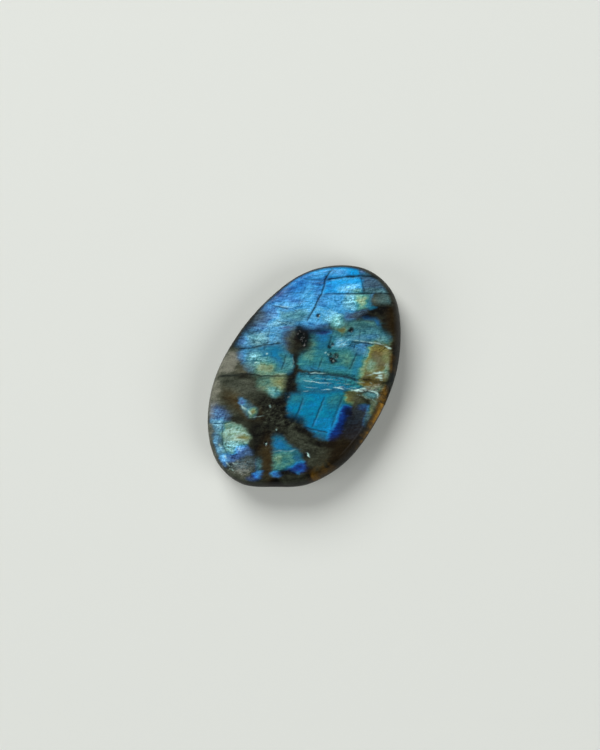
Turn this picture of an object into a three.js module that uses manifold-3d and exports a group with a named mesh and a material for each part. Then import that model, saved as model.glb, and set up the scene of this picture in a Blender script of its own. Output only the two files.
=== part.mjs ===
// A labradorite palm stone: one piece of feldspar, sawn flat at the back, ground to a freehand
// oval and polished on top. It rests on its flat back, with X across the stone, Y along it and
// Z up through the polished face.

import * as THREE from 'three';
import { mergeVertices } from 'three/addons/utils/BufferGeometryUtils.js';
import Module from 'manifold-3d';

// Driving dimensions of the stone, in millimetres
const LENGTH = 35.0;
const WIDTH = 23.4;
const THICKNESS = 6.0;
const CROWN_DROP = 0.5; // from the middle of the face to its edge
const SHOULDER_WIDTH = 1.0; // the rounding from the face into the side, seen from above
const SHOULDER_DROP = 2.3; // and its height, down to where the stone is widest
const BACK_INSET = 0.9; // the flat back is this much smaller all round

// The slow waves that hand polishing leaves on the face: their height, and the turn of each per
// millimetre along X and Y, with its turn at the middle, in radians
const RIPPLE_HEIGHT = 0.05;
const RIPPLE_WAVES = [
  [0.55, 0.22, 0.8],
  [-0.27, 0.31, 1.07],
];

// How far the ground edge stands outside a true oval, in percent, at equal steps around it
const EDGE_SWELL = [
  0.2, -0.8, -1.1, 1.4, 0.1, -1.9, -1.8, -3.6, -2.2, 1.6, 2.8, 2.8, 0.0, -4.4, 0.6, 3.0,
];

// How finely the surface is faceted
const SEGMENTS = 96;
const FACE_RINGS = 11;
const SHOULDER_RINGS = 7;
const SIDE_RINGS = 7;

// A thin cleavage flake has left the face. Its bed runs from the middle of the stone out to the
// right edge, between an upper and a lower wall, and gets deeper on the way. Each station holds
// a point on either wall and the depth of the bed there.
const FLAKE_BED = [
  { upper: [-0.3, 0.4], lower: [0.0, -0.6], depths: [0.03, 0.04] },
  { upper: [2.4, 2.1], lower: [2.8, 0.4], depths: [0.12, 0.1] },
  { upper: [4.1, 2.9], lower: [4.6, 0.9], depths: [0.18, 0.18] },
  { upper: [6.1, 3.8], lower: [6.6, 1.9], depths: [0.24, 0.26] },
  { upper: [7.5, 4.0], lower: [8.3, 2.7], depths: [0.3, 0.32] },
  { upper: [9.4, 4.8], lower: [9.6, 3.4], depths: [0.42, 0.4] },
  { upper: [10.7, 5.5], lower: [10.5, 3.2], depths: [0.55, 0.5] },
  { upper: [13.0, 6.4], lower: [13.0, 2.0], depths: [0.85, 0.85] },
];

// A smaller step above it drops away under a straight lip and rises again to the face
const SMALL_STEP = [
  { upper: [3.4, 7.6], lower: [4.0, 6.8], depths: [0.03, -0.02] },
  { upper: [5.6, 8.8], lower: [6.3, 7.7], depths: [0.16, -0.02] },
  { upper: [7.9, 9.9], lower: [8.7, 8.7], depths: [0.2, -0.02] },
  { upper: [9.6, 10.1], lower: [10.1, 9.2], depths: [0.3, -0.02] },
];

// Where the flake met the right edge it took a nick out of the side as well
const EDGE_NICK = [
  { upper: [10.9, 5.9], lower: [10.9, 2.4], depths: [1.9, 1.9] },
  { upper: [11.35, 5.8], lower: [11.45, 2.5], depths: [2.9, 2.9] },
  { upper: [13.0, 6.3], lower: [13.0, 2.0], depths: [4.6, 4.6] },
];

// The open cracks along the two cleavages of the feldspar, as lines of points on the face
const CRACK_WIDTH = 0.16;
const CRACK_DEPTH = 0.09;
const CRACK_END = 0.4; // the share of both that is left where a crack runs out
const CRACKS = [
  [[-4.3, 13.0], [-3.2, 14.2], [-0.6, 16.0], [0.6, 16.4]],
  [[-4.6, 14.8], [-4.6, 13.8], [-4.1, 12.4], [-3.8, 10.0], [-3.8, 8.2], [-3.6, 6.5]],
  [[-3.6, 11.2], [1.2, 14.2], [3.5, 15.6]],
  [[-10.1, -1.7], [-8.7, -0.7], [-7.3, 0.6], [-6.5, 1.3], [-5.0, 2.0]],
  [[-10.0, -6.2], [-8.2, -4.9], [-6.4, -3.9], [-4.2, -2.7], [-2.2, -1.3]],
  [[4.0, -1.0], [4.3, -2.3], [4.6, -4.2], [4.8, -5.5]],
];

// Pits where dark grains fell out of the polish: x, y, radius and depth of each
const PITS = [
  [-3.9, 5.3, 0.42, 0.16],
  [-3.1, 4.6, 0.5, 0.2],
  [-2.3, 4.1, 0.38, 0.16],
  [-2.6, 8.3, 0.22, 0.1],
  [1.3, 5.9, 0.2, 0.1],
  [2.6, 4.8, 0.34, 0.18],
  [2.5, 4.1, 0.28, 0.16],
  [2.5, 9.0, 0.3, 0.12],
  [0.6, -10.8, 0.28, 0.12],
  [-0.3, -3.4, 0.3, 0.1],
  [6.3, -9.0, 0.32, 0.14],
];

// Shallow scars on the lower end, where the polish never reached the granular rock
const END_SCARS = [
  [-4.0, -15.0, 1.3, 0.12],
  [-2.2, -16.2, 1.5, 0.16],
  [0.1, -16.7, 1.2, 0.14],
];

const HALF_LENGTH = LENGTH / 2;
const HALF_WIDTH = WIDTH / 2;
const GIRDLE_HEIGHT = THICKNESS - CROWN_DROP - SHOULDER_DROP;
const ABOVE_FACE = THICKNESS + 1;

function ovalEdge() {
  const points = EDGE_SWELL.map((swell, step) => {
    const angle = (step / EDGE_SWELL.length) * 2 * Math.PI;
    const reach = 1 + swell / 100;
    return new THREE.Vector3(
      HALF_WIDTH * reach * Math.cos(angle),
      HALF_LENGTH * reach * Math.sin(angle),
      0,
    );
  });
  return new THREE.CatmullRomCurve3(points, true, 'catmullrom', 0.5);
}

// The low dome of the face with its slow ripple, which every cut is measured from
function faceHeight(x, y) {
  const spread = (x / HALF_WIDTH) ** 2 + (y / HALF_LENGTH) ** 2;
  const waves = RIPPLE_WAVES.map(([alongX, alongY, start]) => (
    Math.sin(alongX * x + alongY * y + start)
  ));
  const ripple = RIPPLE_HEIGHT * waves[0] * waves[1] * Math.max(0, 1 - spread ** 2);
  return THICKNESS - CROWN_DROP * spread + ripple;
}

// The stone's section from the middle of the back, out round the side and over to the middle of
// the face, before the face gets its dome. X is the distance from the middle, the short way.
function section() {
  const points = [new THREE.Vector2(0, 0)];
  for (let ring = SIDE_RINGS; ring > 0; ring -= 1) {
    const angle = (ring / SIDE_RINGS) * (Math.PI / 2);
    const inset = BACK_INSET * (1 - Math.cos(angle));
    points.push(new THREE.Vector2(HALF_WIDTH - inset, GIRDLE_HEIGHT * (1 - Math.sin(angle))));
  }
  for (let ring = SHOULDER_RINGS; ring > 0; ring -= 1) {
    const angle = (ring / SHOULDER_RINGS) * (Math.PI / 2);
    const inset = SHOULDER_WIDTH * (1 - Math.sin(angle));
    const drop = SHOULDER_DROP * (1 - Math.cos(angle));
    points.push(new THREE.Vector2(HALF_WIDTH - inset, THICKNESS - drop));
  }
  for (let ring = FACE_RINGS; ring >= 0; ring -= 1) {
    const across = (ring / FACE_RINGS) * (HALF_WIDTH - SHOULDER_WIDTH);
    points.push(new THREE.Vector2(across, THICKNESS));
  }
  return points;
}

// Turns the section once round, then moves each point from the circle to the oval: square to
// the edge across the shoulder and the side, and in proportion inside them.
function groundBlank() {
  const oval = ovalEdge();
  const blank = new THREE.LatheGeometry(section(), SEGMENTS);
  const position = blank.attributes.position;
  const up = new THREE.Vector3(0, 0, 1);
  for (let index = 0; index < position.count; index += 1) {
    const x = position.getX(index);
    const y = -position.getZ(index);
    const height = position.getY(index);
    const across = Math.hypot(x, y);
    const turn = (Math.atan2(y, x) / (2 * Math.PI) + 1) % 1;
    const inset = Math.min(HALF_WIDTH - across, SHOULDER_WIDTH);
    const outward = oval.getTangent(turn).cross(up);
    const share = Math.min(across / (HALF_WIDTH - SHOULDER_WIDTH), 1);
    const point = oval.getPoint(turn).addScaledVector(outward, -inset).multiplyScalar(share);
    const dome = height > GIRDLE_HEIGHT ? faceHeight(point.x, point.y) - THICKNESS : 0;
    position.setXYZ(index, point.x, point.y, height + dome);
  }
  return blank;
}

function closedShape(corners, faces) {
  const shape = new THREE.BufferGeometry();
  shape.setAttribute('position', new THREE.Float32BufferAttribute(corners, 3));
  shape.setIndex(faces);
  return shape;
}

// A closed cutter over a strip of the face: its underside is the bed that it leaves
function bedCutter(stations) {
  const corners = [];
  for (const { upper, lower, depths } of stations) {
    const sides = [[upper, depths[0]], [lower, depths[1]]];
    for (const [[x, y], depth] of sides) {
      corners.push(x, y, faceHeight(x, y) - depth);
      corners.push(x, y, ABOVE_FACE);
    }
  }
  const faces = [0, 3, 1, 0, 2, 3];
  for (let station = 1; station < stations.length; station += 1) {
    const [a, b, c, d] = [-4, -3, -2, -1].map((step) => 4 * station + step);
    const [e, f, g, h] = [a + 4, b + 4, c + 4, d + 4];
    faces.push(a, f, e, a, b, f);
    faces.push(b, h, f, b, d, h);
    faces.push(d, g, h, d, c, g);
    faces.push(c, e, g, c, a, e);
  }
  const last = 4 * (stations.length - 1);
  faces.push(last, last + 1, last + 3, last, last + 3, last + 2);
  return closedShape(corners, faces);
}

// A cutter with a three-sided section that follows a crack and leaves a groove, which narrows
// towards both ends
function crackCutter(points) {
  const corners = [];
  points.forEach(([x, y], index) => {
    const before = points[Math.max(index - 1, 0)];
    const after = points[Math.min(index + 1, points.length - 1)];
    const run = new THREE.Vector2(after[0] - before[0], after[1] - before[1]).normalize();
    const share = index === 0 || index === points.length - 1 ? CRACK_END : 1;
    const reach = share * CRACK_WIDTH;
    const depth = share * CRACK_DEPTH;
    const left = [x - run.y * reach, y + run.x * reach];
    const right = [x + run.y * reach, y - run.x * reach];
    corners.push(...left, faceHeight(...left) + depth);
    corners.push(...right, faceHeight(...right) + depth);
    corners.push(x, y, faceHeight(x, y) - depth);
  });
  const faces = [0, 2, 1];
  for (let station = 1; station < points.length; station += 1) {
    const [a, b, c] = [-3, -2, -1].map((step) => 3 * station + step);
    const [d, e, f] = [a + 3, b + 3, c + 3];
    faces.push(a, b, e, a, e, d);
    faces.push(b, c, f, b, f, e);
    faces.push(c, a, d, c, d, f);
  }
  const last = 3 * (points.length - 1);
  faces.push(last, last + 1, last + 2);
  return closedShape(corners, faces);
}

// A lump that presses a rough pit into the face: wide at the surface and pointed below
function pitCutter([x, y, radius, depth], index) {
  const lump = new THREE.IcosahedronGeometry(radius, 0);
  lump.scale(1, 1, depth / radius);
  lump.rotateZ(index);
  lump.translate(x, y, faceHeight(x, y));
  return lump;
}

const wasm = await Module();
wasm.setup();

function toSolid(geometry) {
  geometry.deleteAttribute('normal');
  geometry.deleteAttribute('uv');
  const merged = mergeVertices(geometry);
  const corners = merged.index.array;
  const triangles = [];
  for (let first = 0; first < corners.length; first += 3) {
    const [a, b, c] = corners.slice(first, first + 3);
    if (a !== b && b !== c && c !== a) {
      triangles.push(a, b, c);
    }
  }
  return new wasm.Manifold(new wasm.Mesh({
    numProp: 3,
    vertProperties: Float32Array.from(merged.attributes.position.array),
    triVerts: Uint32Array.from(triangles),
  }));
}

function toGeometry(solid) {
  const mesh = solid.getMesh();
  const geometry = new THREE.BufferGeometry();
  geometry.setAttribute('position', new THREE.BufferAttribute(mesh.vertProperties, 3));
  geometry.setIndex(new THREE.BufferAttribute(mesh.triVerts, 1));
  return geometry;
}

function carvedStone() {
  let stone = toSolid(groundBlank());
  for (const bed of [FLAKE_BED, SMALL_STEP, EDGE_NICK]) {
    stone = stone.subtract(toSolid(bedCutter(bed)));
  }
  for (const crack of CRACKS) {
    stone = stone.subtract(toSolid(crackCutter(crack)));
  }
  for (const [index, pit] of [...PITS, ...END_SCARS].entries()) {
    stone = stone.subtract(toSolid(pitCutter(pit, index)));
  }
  const geometry = toGeometry(stone);
  geometry.computeBoundingBox();
  const middle = geometry.boundingBox.getCenter(new THREE.Vector3());
  geometry.translate(-middle.x, -middle.y, -geometry.boundingBox.min.z);
  geometry.computeVertexNormals();
  return geometry;
}

const polishedFeldspar = new THREE.MeshStandardMaterial({
  color: 0x2f6f8f,
  roughness: 0.25,
  metalness: 0.2,
});

const labradoriteStone = new THREE.Mesh(carvedStone(), polishedFeldspar);
labradoriteStone.name = 'labradorite_stone';

const palmStone = new THREE.Group();
palmStone.add(labradoriteStone);

export default palmStone;
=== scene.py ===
import math

import bpy
import mathutils
import numpy as np
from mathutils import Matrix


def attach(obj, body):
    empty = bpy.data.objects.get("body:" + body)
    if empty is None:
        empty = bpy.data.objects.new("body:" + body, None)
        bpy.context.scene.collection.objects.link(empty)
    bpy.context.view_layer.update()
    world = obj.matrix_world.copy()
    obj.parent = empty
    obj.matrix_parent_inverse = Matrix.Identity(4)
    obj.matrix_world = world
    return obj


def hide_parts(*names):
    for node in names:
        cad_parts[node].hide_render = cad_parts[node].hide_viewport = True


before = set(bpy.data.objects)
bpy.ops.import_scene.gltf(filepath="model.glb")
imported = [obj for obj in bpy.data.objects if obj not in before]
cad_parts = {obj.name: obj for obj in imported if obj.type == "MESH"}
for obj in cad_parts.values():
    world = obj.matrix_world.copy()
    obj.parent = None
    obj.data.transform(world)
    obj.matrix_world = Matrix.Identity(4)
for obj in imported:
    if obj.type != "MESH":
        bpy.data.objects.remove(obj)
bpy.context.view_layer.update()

# The stone's outline. One piece of feldspar, sawn flat at the back and ground by hand to an oval
# on a wheel, so its edge wanders a little from a true oval. Sizes in this file are millimetres.
HALF_LENGTH = 17.5
HALF_WIDTH = 11.7
THICKNESS = 6.0
CROWN_DROP = 0.5
SHOULDER_WIDTH = 1.0
SHOULDER_DROP = 2.3
GIRDLE_HEIGHT = THICKNESS - CROWN_DROP - SHOULDER_DROP
BACK_INSET = 0.9
EDGE_SWELL = (
    # percent off a true oval, at even turns from the chipped edge round by the blue end
    0.2, -0.8, -1.1, 1.4, 0.1, -1.9, -1.8, -3.6,
    -2.2, 1.6, 2.8, 2.8, 0.0, -4.4, 0.6, 3.0,
)


def edge_and_outward(angle):
    """Points of the ground edge, and the directions square to it, at these angles."""
    count = len(EDGE_SWELL)
    turns = 2 * np.pi * np.arange(count) / count
    reach = 1 + np.array(EDGE_SWELL) / 100
    posts = np.stack([HALF_WIDTH * reach * np.cos(turns), HALF_LENGTH * reach * np.sin(turns)], 1)
    place = (angle / (2 * np.pi) % 1) * count
    step = np.floor(place).astype(int)
    part = (place - step)[..., None]
    before, here, after, beyond = (posts[(step + shift) % count] for shift in (-1, 0, 1, 2))
    straight = after - before
    bend = 2 * before - 5 * here + 4 * after - beyond
    twist = 3 * here - before - 3 * after + beyond
    point = 0.5 * (2 * here + straight * part + bend * part**2 + twist * part**3)
    run = straight + 2 * bend * part + 3 * twist * part**2
    run /= np.linalg.norm(run, axis=-1, keepdims=True)
    return point, np.stack([run[..., 1], -run[..., 0]], -1)


# The polished face. A low dome with the slow ripple that polishing by hand leaves. Every cut,
# crack and pit below is measured down from it.
RIPPLE_HEIGHT = 0.05
RIPPLE_WAVES = ((0.55, 0.22, 0.8), (-0.27, 0.31, 1.07))


def face_height(x, y):
    spread = (x / HALF_WIDTH) ** 2 + (y / HALF_LENGTH) ** 2
    ripple = RIPPLE_HEIGHT * np.maximum(0, 1 - spread**2)
    for along_x, along_y, start in RIPPLE_WAVES:
        ripple = ripple * np.sin(along_x * x + along_y * y + start)
    return THICKNESS - CROWN_DROP * spread + ripple


def eased(share):
    return share**2 * (3 - 2 * share)


def drift(x, y, cell, seed):
    """A smooth random field from -1 to 1, with one free value in each cell of this size."""
    size = 64
    table = np.random.default_rng(seed).uniform(-1, 1, (size, size))
    across, along = x / cell + 10 * size, y / cell + 10 * size
    column, row = np.floor(across).astype(int), np.floor(along).astype(int)
    fade_x, fade_y = eased(across - column), eased(along - row)
    corner = {(i, j): table[(column + i) % size, (row + j) % size] for i in (0, 1) for j in (0, 1)}
    near = corner[0, 0] + (corner[1, 0] - corner[0, 0]) * fade_x
    far = corner[0, 1] + (corner[1, 1] - corner[0, 1]) * fade_x
    return near + (far - near) * fade_y


# The two cleavages. Feldspar splits along two flat directions: the main one runs at 32 degrees
# across this stone, and the steep one crosses it at 65 degrees. Places on the face are given
# along and across the main one, so a row of numbers reads as the face is looked at.
MAIN_CLEAVAGE = math.radians(32)
STEEP_LEAN = 1 / math.tan(math.radians(65))


def to_cleavage(x, y):
    along = x * math.cos(MAIN_CLEAVAGE) + y * math.sin(MAIN_CLEAVAGE)
    across = y * math.cos(MAIN_CLEAVAGE) - x * math.sin(MAIN_CLEAVAGE)
    return along, across


def line_distance(along, across, points):
    nearest = np.full(along.shape, np.inf)
    for (start_a, start_c), (end_a, end_c) in zip(points, points[1:]):
        run_a, run_c = end_a - start_a, end_c - start_c
        share = ((along - start_a) * run_a + (across - start_c) * run_c) / (run_a**2 + run_c**2)
        share = np.clip(share, 0, 1)
        gap = np.hypot(along - start_a - share * run_a, across - start_c - share * run_c)
        nearest = np.minimum(nearest, gap)
    return nearest


# The lost flake. A thin flake split off along the main cleavage, from the middle of the face to
# the right edge, with a smaller step above it and a nick in the side where it ended. Each
# station is a point on the upper wall, a point on the lower wall, and the depth at each.
FLAKE_BED = (
    ((-0.3, 0.4), (0, -0.6), (0.03, 0.04)),
    ((2.4, 2.1), (2.8, 0.4), (0.12, 0.1)),
    ((4.1, 2.9), (4.6, 0.9), (0.18, 0.18)),
    ((6.1, 3.8), (6.6, 1.9), (0.24, 0.26)),
    ((7.5, 4), (8.3, 2.7), (0.3, 0.32)),
    ((9.4, 4.8), (9.6, 3.4), (0.42, 0.4)),
    ((10.7, 5.5), (10.5, 3.2), (0.55, 0.5)),
    ((13, 6.4), (13, 2), (0.85, 0.85)),
)
SMALL_STEP = (
    ((3.4, 7.6), (4, 6.8), (0.03, 0)),
    ((5.6, 8.8), (6.3, 7.7), (0.16, 0)),
    ((7.9, 9.9), (8.7, 8.7), (0.2, 0)),
    ((9.6, 10.1), (10.1, 9.2), (0.3, 0)),
)
EDGE_NICK = (
    ((10.9, 5.9), (10.9, 2.4), (1.9, 1.9)),
    ((11.35, 5.8), (11.45, 2.5), (2.9, 2.9)),
    ((13, 6.3), (13, 2), (4.6, 4.6)),
)
WALL_RUN = 0.07


def bed_depth(x, y, stations):
    """How far below the face the floor of a cut lies, and 0 outside the cut."""
    upper, lower, depths = np.array(stations).transpose(1, 0, 2)
    top, foot = np.interp(x, *upper.T), np.interp(x, *lower.T)
    share = np.clip((y - foot) / np.maximum(top - foot, 0.01), 0, 1)
    depth_top = np.interp(x, upper[:, 0], depths[:, 0])
    depth_foot = np.interp(x, lower[:, 0], depths[:, 1])
    depth = depth_foot + (depth_top - depth_foot) * share
    wall = np.clip(np.minimum(top - y, y - foot) / WALL_RUN, 0, 1)
    start = np.clip((x - np.minimum(upper[0, 0], lower[0, 0])) / WALL_RUN, 0, 1)
    return depth * wall * start


# Open cracks, pits and scars. Cracks follow the cleavages; each is a line of places along and
# across the main cleavage, its half-width and how dark it looks. Pits are where dark grains fell
# out, and the scars on the lower end are where the wheel never reached the granular rock.
CRACKS = (
    ((3.1, 13.45), (5, 13.7), (6.5, 13.85), (8, 13.9), (9.6, 13.85), (11.1, 13.6), 0.17, 1),
    ((0.1, 13.75), (1.5, 13.5), (3.1, 13.45), 0.12, 0.66),
    ((4.3, 15.15), (3.7, 14.4), (3.1, 13.45), (3.05, 12.6), (2.55, 11.3), (2, 10.3), (1.55, 9.3),
     (1, 8.4), (0.5, 7.5), 0.16, 0.95),
    ((3.95, 14.9), (3.6, 14.2), 0.25, 0.6),
    ((2.9, 11.42), (6, 11.45), (9, 11.4), (12.9, 11.4), 0.11, 0.9),
    ((8.2, 13.8), (8.4, 12.9), (8.75, 11.5), 0.14, 0.7), ((8.05, 15.2), (8.1, 14.1), 0.09, 0.5),
    ((5.5, 12.4), (5.2, 11.5), 0.09, 0.3), ((-4.4, 10.05), (-3.2, 9.75), (-1.9, 9.45), 0.13, 0.62),
    ((-3, 11.7), (-1, 11.75), (0.6, 11.9), 0.1, 0.42), ((-0.1, 11.6), (-0.9, 9.3), 0.1, 0.34),
    ((-3.6, 7.6), (-1.6, 7.5), 0.1, 0.42),
    ((-9.2, 3.9), (-6.8, 4.1), (-5.6, 4.45), (-4.4, 4.5), (-2.8, 4.6), 0.13, 0.88),
    ((-4.75, 6.8), (-4.9, 5.6), (-5, 4.6), (-5.6, 3.6), 0.11, 0.5),
    ((-8, 6.2), (-7, 6.3), (-5.6, 6.5), 0.14, 0.5), ((-2.35, 3), (-2.6, 2), (-3, 0.8), 0.11, 0.68),
    ((-12.2, 0.1), (-10, 0.2), (-8.5, 0.42), (-7, 0.28), (-6, 0.02), (-4.6, 0), (-2.3, -0.05), 0.13,
     0.86),
    ((-9.6, 0.22), (-7.6, 0.32), 0.22, 0.5), ((1, 1.05), (1.8, 0.7), (2.6, 0.42), 0.1, 0.72),
    ((2.4, 0.1), (3.6, 0.12), (4.8, -0.05), (6.2, -0.3), (7.7, -0.72), 0.22, 0.76),
    ((-0.4, 0.1), (2.4, 0.1), 0.11, 0.6), ((2.85, 2.5), (2.5, 1.6), (2.2, 0.8), 0.11, 0.6),
    ((7.7, 3.2), (7.3, 2.3), (6.9, 1.3), (6.6, 0.7), 0.11, 0.72),
    ((4.1, 5.6), (3.85, 4.6), (3.6, 3.8), 0.14, 0.66),
    ((6.8, 4.62), (8.5, 4.48), (10, 4.25), 0.13, 0.8),
    ((0.1, -3.1), (-0.4, -4.5), (-1, -5.8), 0.12, 0.7),
    ((3.1, -3), (2.5, -4.4), (1.9, -5.9), (1.25, -7.3), 0.12, 0.8),
    ((5.7, -2.9), (5.1, -4.3), (4.5, -5.9), (4, -7.5), 0.18, 0.5),
    ((0.2, -7.15), (1.2, -7.5), (2.3, -7.75), (3.6, -8.05), 0.14, 0.78),
    ((8.2, 6.6), (7.95, 5), 0.09, 0.45),
    ((-11.4, -6.4), (-11.5, -8), (-11.4, -9.6), (-10.8, -10.8), (-10, -11.1), (-9, -10.9), 0.1, 0.62),
    ((-10.6, -4.4), (-11, -5.6), (-11.3, -6.4), 0.09, 0.3),
    ((6.6, -4.1), (6.2, -5.6), (5.6, -7.4), 0.09, 0.35),
    ((12.7, 3.2), (12.7, 1.6), (12.4, -0.6), (11.9, -1.1), (10.9, -1.15), 0.1, 0.75),
)
CRACK_DEPTH = 0.012
PITS = (
    # across and along the stone, radius, depth
    (-3.9, 5.3, 0.42, 0.16), (-3.1, 4.6, 0.5, 0.2), (-2.3, 4.1, 0.38, 0.16),
    (-2.6, 8.3, 0.22, 0.1), (1.3, 5.9, 0.2, 0.1), (2.6, 4.8, 0.34, 0.18),
    (2.5, 4.1, 0.28, 0.16), (2.5, 9, 0.3, 0.12), (0.6, -10.8, 0.28, 0.12),
    (-0.3, -3.4, 0.3, 0.1), (6.3, -9, 0.32, 0.14),
)
END_SCARS = ((-4, -15, 1.3, 0.12), (-2.2, -16.2, 1.5, 0.16), (0.1, -16.7, 1.2, 0.14))
BED_SWELL = 0.25
PIT_RAGGEDNESS = 0.35
SCAR_GRAIN = 0.035


def carved(x, y, height):
    """Lowers these heights to the floor of whatever has gone from the face there."""
    face = face_height(x, y)
    for stations in (FLAKE_BED, SMALL_STEP, EDGE_NICK):
        depth = bed_depth(x, y, stations)
        floor = face - depth - BED_SWELL * depth * drift(x, y, 0.5, 31)
        height = np.where(depth > 0, np.minimum(height, floor), height)
    along, across = to_cleavage(x, y)
    for *points, width, dark in CRACKS:
        groove = np.exp(-((line_distance(along, across, points) / width) ** 2))
        height = height - CRACK_DEPTH * dark * groove
    for pit_x, pit_y, radius, depth in PITS:
        ragged = radius * (1 + PIT_RAGGEDNESS * drift(x, y, 0.3, 32))
        bowl = np.clip(1 - (np.hypot(x - pit_x, y - pit_y) / ragged) ** 2, 0, 1)
        height = height - depth * np.sqrt(bowl)
    for scar_x, scar_y, radius, depth in END_SCARS:
        bowl = np.clip(1 - (np.hypot(x - scar_x, y - scar_y) / radius) ** 2, 0, 1)
        rough = SCAR_GRAIN * drift(x, y, 0.35, 33) * np.sqrt(bowl)
        height = height - depth * bowl + rough
    return height


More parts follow.
